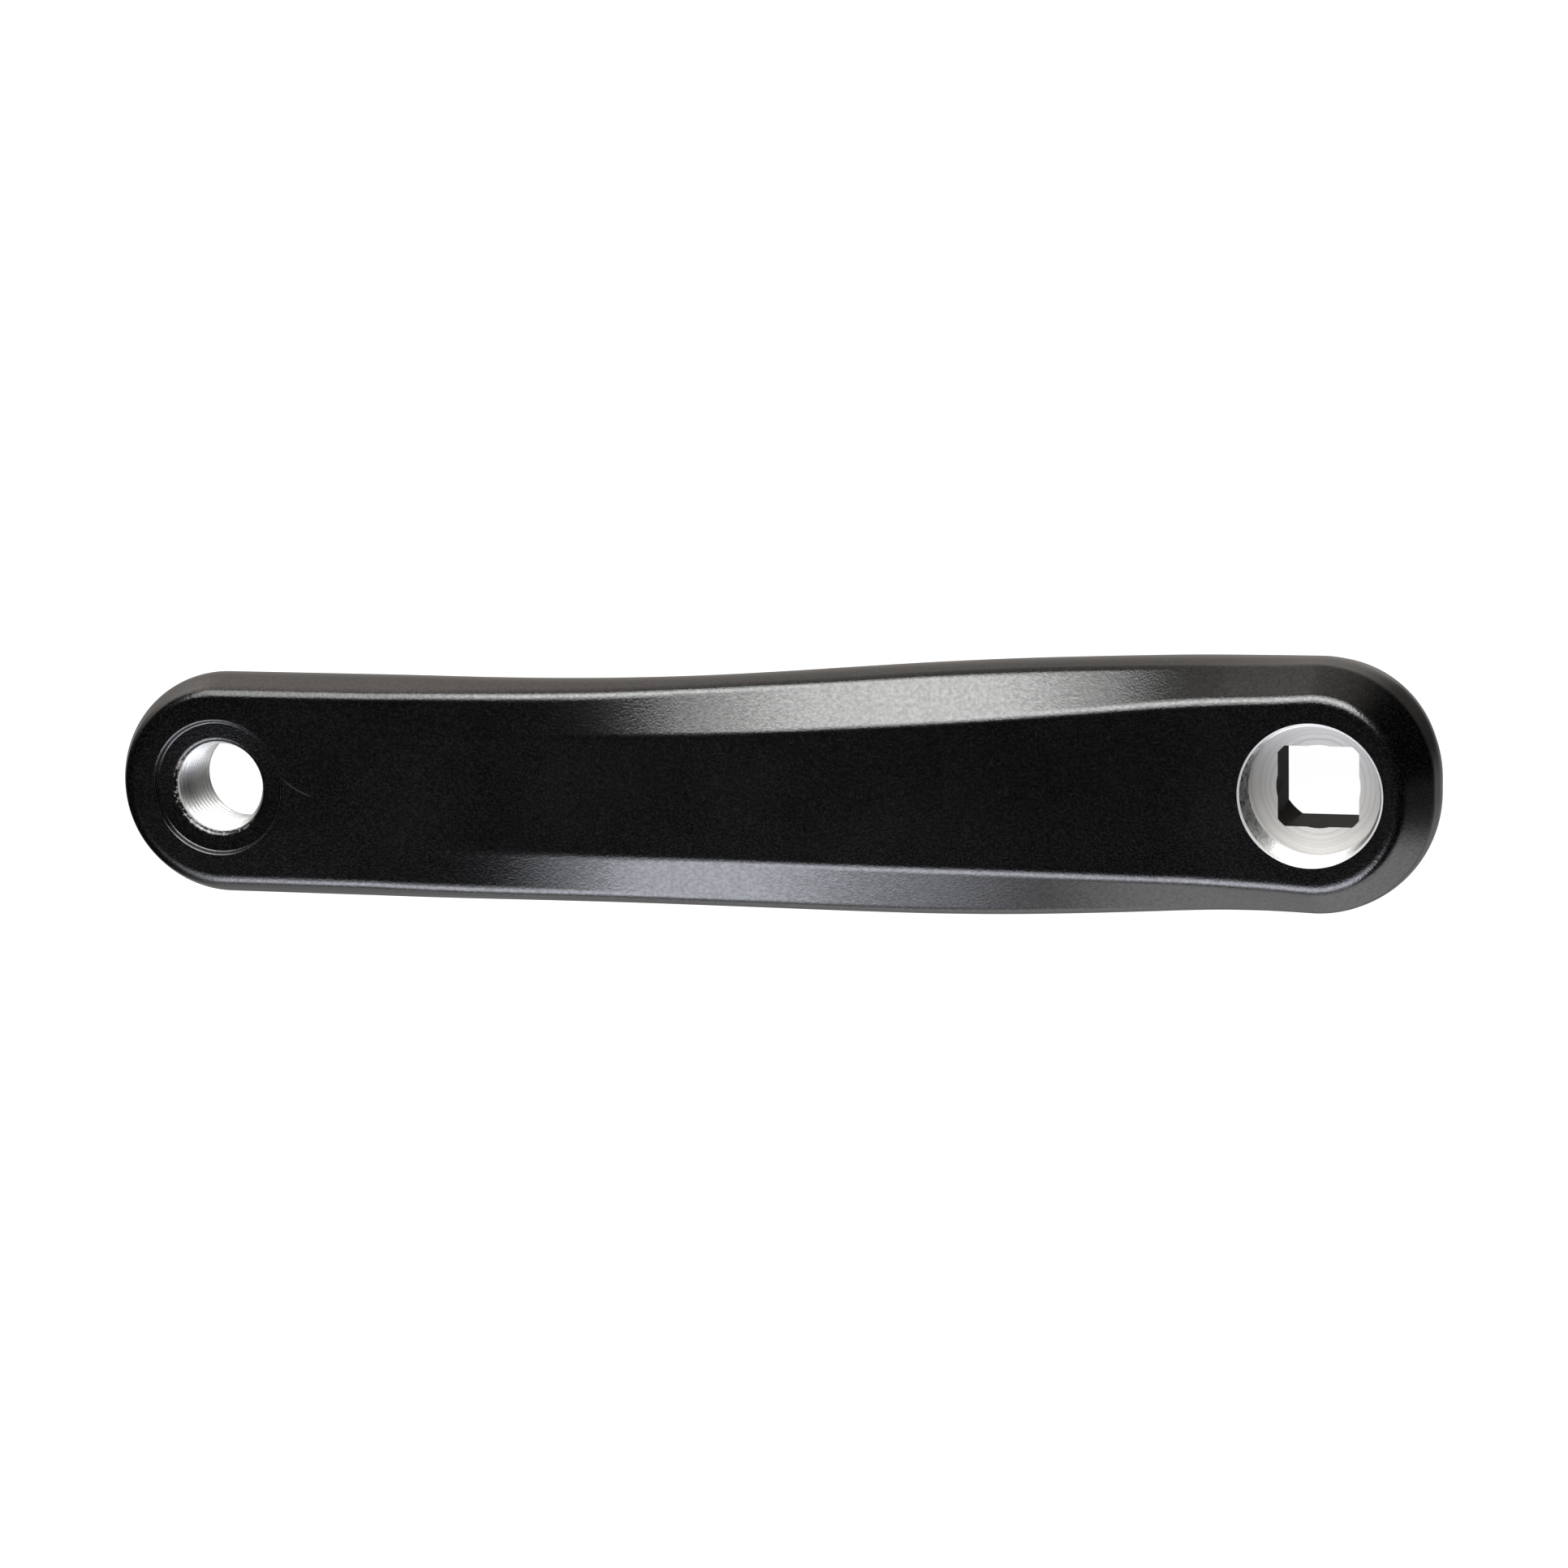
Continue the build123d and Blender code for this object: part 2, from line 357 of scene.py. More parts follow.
class CrankFinishSettings(bpy.types.PropertyGroup):
    """Colours and surface of the finish."""

    paint_color: bpy.props.FloatVectorProperty(
        name="Paint", description="Colour of the black finish", subtype="COLOR",
        size=3, min=0.0, max=1.0, default=(0.0005, 0.0005, 0.0005))
    speck_color: bpy.props.FloatVectorProperty(
        name="Specks", description="Colour of the pale specks that mottle the finish", subtype="COLOR",
        size=3, min=0.0, max=1.0, default=(0.012, 0.012, 0.012))
    metal_color: bpy.props.FloatVectorProperty(
        name="Metal", description="Colour of the bare aluminium", subtype="COLOR",
        size=3, min=0.0, max=1.0, default=(0.95, 0.935, 0.915))
    thread_color: bpy.props.FloatVectorProperty(
        name="Threads", description="Colour of the aluminium in the threads", subtype="COLOR",
        size=3, min=0.0, max=1.0, default=(0.88, 0.88, 0.87))
    socket_color: bpy.props.FloatVectorProperty(
        name="Socket", description="Colour of the streaks on the socket's walls", subtype="COLOR",
        size=3, min=0.0, max=1.0, default=(0.030, 0.022, 0.020))
    paint_roughness: bpy.props.FloatProperty(
        name="Paint Roughness", description="Softness of the reflections in the black finish",
        default=0.20, min=0.0, max=1.0, subtype="FACTOR")
    metal_roughness: bpy.props.FloatProperty(
        name="Metal Roughness", description="Softness of the reflections in the bare aluminium",
        default=0.58, min=0.0, max=1.0, subtype="FACTOR")
    thread_roughness: bpy.props.FloatProperty(
        name="Thread Roughness", description="Softness of the reflections in the threads",
        default=0.42, min=0.0, max=1.0, subtype="FACTOR")
    grain_size: bpy.props.FloatProperty(
        name="Grain Size", description="Size of the blasted grain under the black finish",
        default=0.36 * MM, unit="LENGTH")


class CrankStageSettings(bpy.types.PropertyGroup):
    """Studio round the arm."""

    upper_light: bpy.props.FloatProperty(
        name="Upper Light", description="Brightness of the strip light over the far side",
        default=4.8, min=0.0)
    lower_light: bpy.props.FloatProperty(
        name="Lower Light", description="Brightness of the strip light over the near side",
        default=3.5, min=0.0)
    floor_color: bpy.props.FloatVectorProperty(
        name="Floor", description="Colour of the floor", subtype="COLOR",
        size=3, min=0.0, max=1.0, default=(0.25, 0.25, 0.25))


def bend_height(x, start, end, high, low, straight, hollow):
    """Height at x of a line that leaves `high`, bends down over two arcs and joins `low`."""
    run = end - start
    angle = 2 * atan((high - low) / (run + straight))
    crest = (run - straight * cos(angle)) / sin(angle) - hollow
    crest_end = start + crest * sin(angle)
    hollow_start = end - hollow * sin(angle)
    if x <= start:
        return high
    if x <= crest_end:
        return high - crest + sqrt(crest**2 - (x - start) ** 2)
    if x <= hollow_start:
        return high - crest * (1 - cos(angle)) - (x - crest_end) * tan(angle)
    if x <= end:
        return low + hollow - sqrt(hollow**2 - (end - x) ** 2)
    return low


def pedal_face(form):
    return form.boss_thickness + form.pedal_offset


def pedal_back(form):
    return pedal_face(form) - form.pedal_thickness


def neck_place(form):
    return NECK_REACH - form.crank_length


def face_height(form, x):
    return bend_height(x, neck_place(form) + FACE_BEND_LAG, -FACE_BEND_END, pedal_face(form),
                       form.boss_thickness, FACE_STRAIGHT, FACE_HOLLOW_RADIUS)


def back_height(form, x):
    return bend_height(x, neck_place(form) + BACK_BEND_LAG, -BACK_BEND_END, pedal_back(form),
                       0.0, BACK_STRAIGHT, BACK_HOLLOW_RADIUS)


def between(start, end, share):
    return start + (end - start) * share


def shares_at(form, x):
    """Section shares at x, on a smooth curve through the stations."""
    table = np.array(STATIONS)[::-1]
    knots, values = table[:, 0], table[:, 1:]
    slopes = np.gradient(values, knots, axis=0)
    way = min(max(x / neck_place(form), 0.0), 1.0)
    row = min(max(int(np.searchsorted(knots, way)) - 1, 0), len(knots) - 2)
    gap = knots[row + 1] - knots[row]
    part = (way - knots[row]) / gap
    return (
        values[row] * (1 + 2 * part) * (1 - part) ** 2
        + values[row + 1] * part**2 * (3 - 2 * part)
        + slopes[row] * gap * part * (1 - part) ** 2
        - slopes[row + 1] * gap * part**2 * (1 - part)
    )


def line_points(start, end, splits):
    return [between(start, end, share) for share in splits]


def blend_points(entry, corner, leave):
    """Points of the curve that rounds a corner of the section."""
    shares = [step / BLEND_STEPS for step in range(1, BLEND_STEPS + 1)]
    return [
        entry * (1 - share) ** 2 + corner * (2 * share * (1 - share)) + leave * share**2
        for share in shares
    ]


def half_outline(form, x):
    """Points (y, z) of one half of the section at x, from the middle of the face to that of the back."""
    width_share, table_share, bevel_share, widest_share, bulge_share = shares_at(form, x)
    half_width = between(form.pedal_half_width, form.boss_half_width, width_share)
    table = between(TABLE_NECK_HALF_WIDTH, TABLE_BOSS_HALF_WIDTH, table_share)
    drop = form.bevel_drop * bevel_share
    widest = between(WIDEST_BELOW_PEDAL_FACE, WIDEST_BELOW_BOSS_FACE, widest_share)
    face = face_height(form, x)
    back = back_height(form, x)
    bulge = between(SIDE_NECK_BULGE, SIDE_BOSS_BULGE, bulge_share)
    shoulder_y = half_width - bulge
    back_y = half_width - BACK_INSET
    tilt = atan2(drop, shoulder_y - table)
    draft = atan2(widest - drop, bulge + SIDE_CROWN)
    table_blend = max(TABLE_EDGE_MIN_BLEND, TABLE_EDGE_RADIUS * tan(tilt / 2))
    corners = (
        (np.array((table, face)), table_blend, TABLE_SPLITS),
        (np.array((shoulder_y, face - drop)), EDGE_RADIUS * tan((draft - tilt) / 2), LINE_SPLITS),
        (np.array((half_width + SIDE_CROWN, face - widest)), SIDE_BLEND, LINE_SPLITS),
        (np.array((back_y, back)), BACK_EDGE, LINE_SPLITS),
    )
    end = np.array((0.0, back))
    last = np.array((form.boss_end_flat / 2, face))
    points = [np.array((0.0, face)), last]
    following = [corner for corner, _, _ in corners[1:]] + [end]
    for (corner, blend, splits), after in zip(corners, following):
        entry = corner + (last - corner) * blend / np.linalg.norm(last - corner)
        leave = corner + (after - corner) * blend / np.linalg.norm(after - corner)
        points += line_points(last, entry, splits)
        points += blend_points(entry, corner, leave)
        last = leave
    inner = np.array((form.boss_end_flat / 2, back))
    return np.array(points + line_points(last, inner, BACK_SPLITS) + [end])


def add_patch(bm, rows):
    """Adds a grid of quads through rows of points."""
    grid = [[bm.verts.new(point) for point in row] for row in rows]
    for row, after in zip(grid, grid[1:]):
        for i in range(len(row) - 1):
            bm.faces.new((row[i], row[i + 1], after[i + 1], after[i]))


def forging_mesh(form):
    """Closed mesh of the arm without its bores."""
    pedal_x = -form.crank_length
    neck_x = neck_place(form)
    inset = form.boss_end_flat / 2
    places = list(np.linspace(pedal_x, neck_x, NECK_RINGS))
    places += list(np.linspace(neck_x, 0.0, SHAFT_RINGS))[1:]
    outlines = [(x, half_outline(form, x)) for x in places]
    pedal_outline = outlines[0][1]
    boss_outline = outlines[-1][1][1:-1]
    turns = [radians(180) * step / END_STEPS for step in range(END_STEPS + 1)]
    bm = bmesh.new()
    for side in (1, -1):
        add_patch(bm, [[(x, side * y, z) for y, z in outline] for x, outline in outlines])
        add_patch(bm, [
            [((y - inset) * sin(turn), side * (inset + (y - inset) * cos(turn)), z) for y, z in boss_outline]
            for turn in turns[: END_STEPS // 2 + 1]
        ])
    add_patch(bm, [
        [(pedal_x - y * sin(turn), y * cos(turn), z) for y, z in pedal_outline] for turn in turns
    ])
    add_patch(bm, [[(y - inset, across, z) for y, z in boss_outline] for across in (inset, 0.0, -inset)])
    bmesh.ops.remove_doubles(bm, verts=bm.verts, dist=WELD_DISTANCE)
    bmesh.ops.dissolve_degenerate(bm, edges=bm.edges, dist=WELD_DISTANCE)
    bmesh.ops.recalc_face_normals(bm, faces=bm.faces)
    return finished_mesh(bm, "forging")


def finished_mesh(bm, name):
    mesh = bpy.data.meshes.new(name)
    bm.to_mesh(mesh)
    bm.free()
    return mesh


def turned_mesh(profile, x, name):
    """Closed mesh turned about the upright axis at x from (radius, height) points."""
    bm = bmesh.new()
    turns = [radians(360) * step / TURN_STEPS for step in range(TURN_STEPS + 1)]
    add_patch(bm, [[(x + r * cos(turn), r * sin(turn), z) for r, z in profile] for turn in turns])
    bmesh.ops.remove_doubles(bm, verts=bm.verts, dist=WELD_DISTANCE)
    bmesh.ops.dissolve_degenerate(bm, edges=bm.edges, dist=WELD_DISTANCE)
    bmesh.ops.recalc_face_normals(bm, faces=bm.faces)
    return finished_mesh(bm, name)


def round_points(centre, radius, start, end):
    """Points (radius, height) of an arc in a turned profile, with angles in degrees."""
    angles = [radians(angle) for angle in np.linspace(start, end, ROUND_STEPS)]
    return [(centre[0] + radius * cos(angle), centre[1] + radius * sin(angle)) for angle in angles]


def lip_depth(bores):
    """Depth of the lip that the mouth of the extractor bore leaves over the thread."""
    return bores.extractor_mouth - bores.extractor_root + MOUTH_LIP


def extractor_cutter(form, bores):
    face = form.boss_thickness
    floor = face - bores.extractor_depth
    top = face + CUT_MARGIN
    lip = face - lip_depth(bores)
    return turned_mesh((
        (0.0, floor),
        (bores.extractor_root, floor),
        (bores.extractor_root, lip - MOUTH_LIP),
        (bores.extractor_root - MOUTH_LIP, lip),
        (bores.extractor_mouth, face),
        (bores.extractor_mouth, top),
        (0.0, top),
    ), 0.0, "extractor_cutter")


def pedal_cutter(form, bores):
    face = pedal_face(form)
    seat = face - bores.seat_depth
    back = pedal_back(form)
    mouth = bores.pedal_core + bores.pedal_chamfer
    rear = bores.pedal_core + bores.pedal_rear_chamfer
    edge = bores.seat_round
    wall = bores.seat_radius
    round_over = mouth - bores.pedal_root
    rear_wide = rear + bores.pedal_root - bores.pedal_core
    return turned_mesh((
        (0.0, back - CUT_MARGIN),
        (rear_wide, back - CUT_MARGIN),
        (rear_wide, back),
        (bores.pedal_root, back + bores.pedal_rear_chamfer),
        *round_points((mouth, seat - round_over), round_over, 180, 90),
        *round_points((wall - edge, seat + edge), edge, -90, 0),
        *round_points((wall + edge, face - edge), edge, 180, 90),
        (wall + edge, face + CUT_MARGIN),
        (0.0, face + CUT_MARGIN),
    ), -form.crank_length, "pedal_cutter")


def socket_outline(half_flat, bores):
    """Points of the square socket at one level: flats, pilot scallops and round corners."""
    scallop = acos(min(1.0, half_flat / bores.taper_pilot))
    corner = acos(half_flat / bores.taper_corner)
    eighth = radians(45)
    angles = list(np.linspace(0.0, scallop, SOCKET_SCALLOP_STEPS + 1))
    angles += list(np.linspace(scallop, corner, SOCKET_FLAT_STEPS + 1))[1:]
    angles += list(np.linspace(corner, eighth, SOCKET_CORNER_STEPS + 1))[1:]
    angles += [2 * eighth - angle for angle in angles[-2:0:-1]]
    points = []
    for quarter in range(4):
        for angle in angles:
            reach = max(bores.taper_pilot, min(half_flat / max(cos(angle), sin(angle)), bores.taper_corner))
            turn = angle + quarter * 2 * eighth
            points.append((reach * cos(turn), reach * sin(turn)))
    return points


def socket_cutter(form, bores):
    floor = form.boss_thickness - bores.extractor_depth
    slope = tan(bores.taper_angle)
    bm = bmesh.new()
    rows = []
    for z in np.linspace(-CUT_MARGIN, floor + CUT_MARGIN / 2, SOCKET_LEVELS):
        outline = socket_outline(bores.taper_flats / 2 + slope * (floor - z), bores)
        rows.append([(x, y, z) for x, y in outline + outline[:1]])
    add_patch(bm, rows)
    bmesh.ops.remove_doubles(bm, verts=bm.verts, dist=WELD_DISTANCE)
    bmesh.ops.holes_fill(bm, edges=bm.edges, sides=0)
    bmesh.ops.recalc_face_normals(bm, faces=bm.faces)
    return finished_mesh(bm, "socket_cutter")


def link_object(mesh, name):
    piece = bpy.data.objects.new(name, mesh)
    bpy.context.scene.collection.objects.link(piece)
    return piece


def applied_mesh(piece):
    """Plain mesh of a piece with its modifiers applied."""
    graph = bpy.context.evaluated_depsgraph_get()
    return bpy.data.meshes.new_from_object(piece.evaluated_get(graph))


def bored_mesh(form, bores):
    """The forging with its bores cut."""
    forging = link_object(forging_mesh(form), "forging")
    cutters = [
        link_object(mesh, mesh.name)
        for mesh in (extractor_cutter(form, bores), socket_cutter(form, bores), pedal_cutter(form, bores))
    ]
    for cutter in cutters:
        cut = forging.modifiers.new(cutter.name, "BOOLEAN")
        cut.operation = "DIFFERENCE"
        cut.solver = "EXACT"
        cut.object = cutter
    mesh = applied_mesh(forging)
    for helper in [forging, *cutters]:
        bpy.data.objects.remove(helper)
    return mesh


def surface_at(centre, form, bores):
    """Material slot of a face at this place: painted, turned metal or the socket's dark walls."""
    from_spindle = sqrt(centre.x**2 + centre.y**2)
    from_pedal = sqrt((centre.x + form.crank_length) ** 2 + centre.y**2)
    floor = form.boss_thickness - bores.extractor_depth
    in_extractor = from_spindle < bores.extractor_mouth and centre.z > floor - REGION_SLACK
    in_pedal = from_pedal < bores.pedal_root + REGION_SLACK and centre.z > pedal_back(form)
    rear = pedal_back(form) + bores.pedal_rear_chamfer
    on_rear_chamfer = from_pedal < bores.seat_radius and pedal_back(form) + REGION_SLACK < centre.z < rear
    if in_extractor or in_pedal or on_rear_chamfer:
        return TURNED
    in_socket = from_spindle < bores.extractor_core and REGION_SLACK < centre.z < floor
    return SOCKET if in_socket else PAINTED


class CRANK_OT_forging(bpy.types.Operator):
    """Build the forged arm with its bores and finish"""

    bl_idname = "crank.forging"
    bl_label = "Build Forging"

    def execute(self, context):
        form = context.scene.crank_form
        bores = context.scene.crank_bores
        finish = context.scene.crank_finish
        mesh = bored_mesh(form, bores)
        mesh.name = "forged_arm"
        mesh.materials.clear()
        mesh.materials.append(satin_black(finish, form, bores))
        mesh.materials.append(ringed_metal(
            "turned_aluminium", finish.metal_color, finish.metal_roughness, TURNED_METALLIC))
        mesh.materials.append(socket_black(finish))
        for polygon in mesh.polygons:
            polygon.use_smooth = True
            polygon.material_index = surface_at(polygon.center, form, bores)
        mesh.set_sharp_from_angle(angle=SHARP_ANGLE)
        arm = link_object(mesh, "forged_arm")
        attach(arm, BODY)
        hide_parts(CAD_NODE)
        return {"FINISHED"}


class NodeMaker:
    """Adds nodes to a tree and links them."""

    def __init__(self, tree):
        self.tree = tree

    def add(self, kind, inputs=None, **settings):
        node = self.tree.nodes.new(kind)
        for key, value in settings.items():
            setattr(node, key, value)
        for key, value in (inputs or {}).items():
            self.feed(node.inputs[key], value)
        return node

    def feed(self, socket, value):
        if isinstance(value, bpy.types.NodeSocket):
            self.tree.links.new(value, socket)
        else:
            socket.default_value = value

    def math(self, operation, first, second=0.0, third=0.0):
        node = self.add("ShaderNodeMath", operation=operation)
        for socket, value in zip(node.inputs, (first, second, third)):
            self.feed(socket, value)
        return node.outputs[0]

    def vector(self, operation, *values):
        """Outputs of a node that works on whole vectors."""
        node = self.add("ShaderNodeVectorMath", dict(enumerate(values)), operation=operation)
        return node.outputs

    def place(self):
        """Place on the piece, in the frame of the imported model."""
        return self.add("ShaderNodeTexCoord").outputs["Object"]

    def noise(self, place, size, detail, roughness=EVEN_ROUGHNESS):
        return self.add("ShaderNodeTexNoise", {
            "Vector": place, "Scale": 1.0 / size, "Detail": detail, "Roughness": roughness,
        }).outputs["Fac"]

    def remap(self, value, source, target=(0.0, 1.0), curve="LINEAR"):
        """Value carried from one range to another and held at its ends."""
        return self.add("ShaderNodeMapRange", {
            "Value": value, "From Min": source[0], "From Max": source[1],
            "To Min": target[0], "To Max": target[1],
        }, interpolation_type=curve).outputs["Result"]

    def mix(self, share, first, second):
        """Colour between two colours or sockets."""
        colors = [color if isinstance(color, bpy.types.NodeSocket) else opaque(color)
                  for color in (first, second)]
        return self.add("ShaderNodeMixRGB", {
            "Fac": share, "Color1": colors[0], "Color2": colors[1]}).outputs["Color"]

    def bump(self, height, distance):
        return self.add("ShaderNodeBump", {"Height": height, "Distance": distance, "Strength": 1.0})


def opaque(color):
    return (*color, 1.0)


def thread_tree():
    """Node tree that sweeps a ridge along a helix and fades it out at both ends."""
    tree = bpy.data.node_groups.new("thread_ridge", "GeometryNodeTree")
    tree.interface.new_socket("Geometry", in_out="OUTPUT", socket_type="NodeSocketGeometry")
    for name, kind in (
        ("Root Radius", "NodeSocketFloat"), ("Core Radius", "NodeSocketFloat"), ("Pitch", "NodeSocketFloat"),
        ("Length", "NodeSocketFloat"), ("Right Hand", "NodeSocketBool"), ("Start", "NodeSocketVector"),
        ("Material", "NodeSocketMaterial"),
    ):
        tree.interface.new_socket(name, in_out="INPUT", socket_type=kind)
    make = NodeMaker(tree)
    given = make.add("NodeGroupInput").outputs
    turns = make.math("DIVIDE", given["Length"], given["Pitch"])
    radius = make.math("ADD", given["Root Radius"], THREAD_SINK)
    helix = make.add("GeometryNodeCurveSpiral", {
        "Resolution": THREAD_STEPS, "Rotations": turns, "Start Radius": radius, "End Radius": radius,
        "Height": given["Length"], "Reverse": given["Right Hand"],
    })
    upright = make.add("GeometryNodeSetCurveNormal", {"Curve": helix.outputs[0]}, mode="Z_UP")
    along = make.add("GeometryNodeSplineParameter").outputs["Factor"]
    fade = make.math("DIVIDE", turns, THREAD_RUN_OUT_TURNS)
    rising = make.math("MULTIPLY", along, fade)
    falling = make.math("MULTIPLY", make.math("SUBTRACT", 1.0, along), fade)
    swell = make.math("MINIMUM", make.math("MINIMUM", rising, falling), 1.0)
    hand = make.math("MULTIPLY_ADD", given["Right Hand"], 2.0, -1.0)
    depth = make.math("MULTIPLY", make.math("SUBTRACT", given["Core Radius"], radius), hand)
    base = make.math("MULTIPLY", given["Pitch"], THREAD_BASE_SHARE / 2)
    crest = make.math("MULTIPLY", given["Pitch"], THREAD_CREST_SHARE / 2)
    profile = make.add("GeometryNodeCurvePrimitiveQuadrilateral", mode="POINTS")
    corners = ((0.0, base), (0.0, make.math("MULTIPLY", base, -1.0)),
               (depth, make.math("MULTIPLY", crest, -1.0)), (depth, crest))
    for number, (reach, across) in enumerate(corners, 1):
        point = make.add("ShaderNodeCombineXYZ", {"X": reach, "Y": across})
        make.feed(profile.inputs[f"Point {number}"], point.outputs[0])
    ridge = make.add("GeometryNodeCurveToMesh", {
        "Curve": upright.outputs[0], "Profile Curve": profile.outputs[0], "Scale": swell, "Fill Caps": True})
    placed = make.add("GeometryNodeTransform", {"Geometry": ridge.outputs[0], "Translation": given["Start"]})
    real = make.add("GeometryNodeRealizeInstances", {"Geometry": placed.outputs[0]})
    dressed = make.add("GeometryNodeSetMaterial", {
        "Geometry": real.outputs[0], "Material": given["Material"]})
    make.add("NodeGroupOutput", {"Geometry": dressed.outputs[0]})
    return tree


def add_thread(tree, name, settings):
    """Adds a plain mesh piece made by the thread tree with these inputs."""
    host = link_object(bpy.data.meshes.new(name), f"{name}_host")
    ridge = host.modifiers.new("ridge", "NODES")
    ridge.node_group = tree
    for item in tree.interface.items_tree:
        if item.in_out == "INPUT":
            ridge[item.identifier] = settings[item.name]
    mesh = applied_mesh(host)
    host.modifiers.remove(ridge)
    bpy.data.objects.remove(host)
    mesh.name = name
    bm = bmesh.new()
    bm.from_mesh(mesh)
    bmesh.ops.remove_doubles(bm, verts=bm.verts, dist=WELD_DISTANCE)
    bmesh.ops.recalc_face_normals(bm, faces=bm.faces)
    bm.to_mesh(mesh)
    bm.free()
    for polygon in mesh.polygons:
        polygon.use_smooth = True
    mesh.set_sharp_from_angle(angle=SHARP_ANGLE)
    piece = link_object(mesh, name)
    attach(piece, BODY)


class CRANK_OT_threads(bpy.types.Operator):
    """Build the ridges of the extractor thread and the pedal thread"""

    bl_idname = "crank.threads"
    bl_label = "Build Threads"

    def execute(self, context):
        form = context.scene.crank_form
        bores = context.scene.crank_bores
        finish = context.scene.crank_finish
        tree = thread_tree()
        thread_look = (finish.thread_color, finish.thread_roughness)
        floor = form.boss_thickness - bores.extractor_depth
        seat = pedal_face(form) - bores.seat_depth
        half_pitch = bores.extractor_pitch / 2
        lip = lip_depth(bores) + MOUTH_LIP
        add_thread(tree, "extractor_ridge", {
            "Root Radius": bores.extractor_root,
            "Core Radius": bores.extractor_core,
            "Pitch": bores.extractor_pitch,
            "Length": bores.extractor_depth - 2 * half_pitch - lip,
            "Right Hand": True,
            "Start": (0.0, 0.0, floor + half_pitch),
            "Material": dark_patched_metal("extractor_aluminium", *thread_look),
        })
        half_pitch = bores.pedal_pitch / 2
        start = pedal_back(form) + half_pitch
        end = seat - (bores.pedal_core + bores.pedal_chamfer - bores.pedal_root)
        add_thread(tree, "pedal_ridge", {
            "Root Radius": bores.pedal_root,
            "Core Radius": bores.pedal_core,
            "Pitch": bores.pedal_pitch,
            "Length": end - start,
            "Right Hand": False,
            "Start": (-form.crank_length, 0.0, start),
            "Material": bare_metal("pedal_aluminium", *thread_look),
        })
        return {"FINISHED"}


def new_material(name):
    """Material with a lone principled shader, and a maker for its nodes."""
    material = bpy.data.materials.new(name)
    material.use_nodes = True
    return material, NodeMaker(material.node_tree), lone_shader(material)


def lone_shader(material):
    return material.node_tree.nodes["Principled BSDF"]


def spread_round(middle, spread):
    return (middle - spread, middle + spread)


def window(make, value, middle, half_width):
    """1 where the value is near the middle, falling to 0 at half the width from it."""
    off = make.math("ABSOLUTE", make.math("SUBTRACT", value, middle))
    return make.remap(off, (half_width / 2, half_width), (1.0, 0.0))


def distance_from(make, place, centre):
    """Distance across the arm's face from an upright axis."""
    off = make.vector("SUBTRACT", place, (*centre, 0.0))["Vector"]
    flat = make.vector("MULTIPLY", off, WITHOUT_HEIGHT)["Vector"]
    return make.vector("LENGTH", flat)["Value"]


def wear_mask(make, place, form, bores):
    """Where the paint is worn: flecks on the mouth of the pedal hole and a hair scratch beside it."""
    parts = make.add("ShaderNodeSeparateXYZ", {"Vector": place}).outputs
    broken = make.remap(make.noise(place, FLECK_SIZE, FINE_DETAIL), FLECK_RANGE)
    from_pedal = distance_from(make, place, (-form.crank_length, 0.0))
    on_mouth = window(make, from_pedal, bores.pedal_root, FLECK_RING)
    diagonal = make.math("ADD", make.math("ADD", parts["X"], form.crank_length), parts["Y"])
    lower_left = make.remap(diagonal, FLECK_SIDE)
    flecks = make.math("MULTIPLY", make.math("MULTIPLY", on_mouth, lower_left), broken)
    centre = (SCRATCH_CENTRE[0] - form.crank_length, SCRATCH_CENTRE[1])
    on_arc = window(make, distance_from(make, place, centre), SCRATCH_RADIUS, SCRATCH_WIDTH)
    middle = sum(SCRATCH_SPAN) / 2 - form.crank_length
    in_span = window(make, parts["X"], middle, (SCRATCH_SPAN[1] - SCRATCH_SPAN[0]) / 2)
    near_side = make.math("LESS_THAN", parts["Y"], SCRATCH_CENTRE[1] / 2)
    scratch = make.math("MULTIPLY", make.math("MULTIPLY", on_arc, in_span), near_side)
    return make.math("MAXIMUM", flecks, make.math("MULTIPLY", scratch, SCRATCH_LEVEL))


def satin_black(finish, form, bores):
    """Black finish over blasted aluminium, with a fine grain and faint pale mottling."""
    material, make, shader = new_material("satin_black")
    place = make.place()
    specks = make.remap(make.noise(place, SPECK_SIZE, PLAIN_DETAIL), SPECK_RANGE)
    mottled = make.mix(specks, finish.paint_color, finish.speck_color)
    worn = make.mix(wear_mask(make, place, form, bores), mottled, WORN_COLOR)
    cloud = make.noise(place, CLOUD_SIZE, RICH_DETAIL)
    rough = make.remap(cloud, NOISE_SPAN, spread_round(finish.paint_roughness, ROUGHNESS_SPREAD))
    sheen = make.remap(make.noise(place, SHEEN_SIZE, FINE_DETAIL), NOISE_SPAN, SHEEN_RANGE)
    grain = make.bump(make.noise(place, finish.grain_size, GRAIN_DETAIL, GRAIN_ROUGHNESS), GRAIN_HEIGHT)
    make.feed(shader.inputs["Base Color"], worn)
    make.feed(shader.inputs["Roughness"], rough)
    make.feed(shader.inputs["Specular IOR Level"], sheen)
    make.feed(shader.inputs["Normal"], grain.outputs["Normal"])
    shader.inputs["IOR"].default_value = PAINT_IOR
    return material


def socket_black(finish):
    """Dull brown-black broached walls with faint streaks along the socket."""
    material, make, shader = new_material("socket_black")
    drawn = make.vector("MULTIPLY", make.place(), STREAK_STRETCH)["Vector"]
    streaks = make.noise(drawn, STREAK_SIZE, RICH_DETAIL)
    make.feed(shader.inputs["Base Color"], make.mix(streaks, finish.paint_color, finish.socket_color))
    shader.inputs["Roughness"].default_value = SOCKET_ROUGHNESS
    shader.inputs["Specular IOR Level"].default_value = SOCKET_SHEEN
    return material


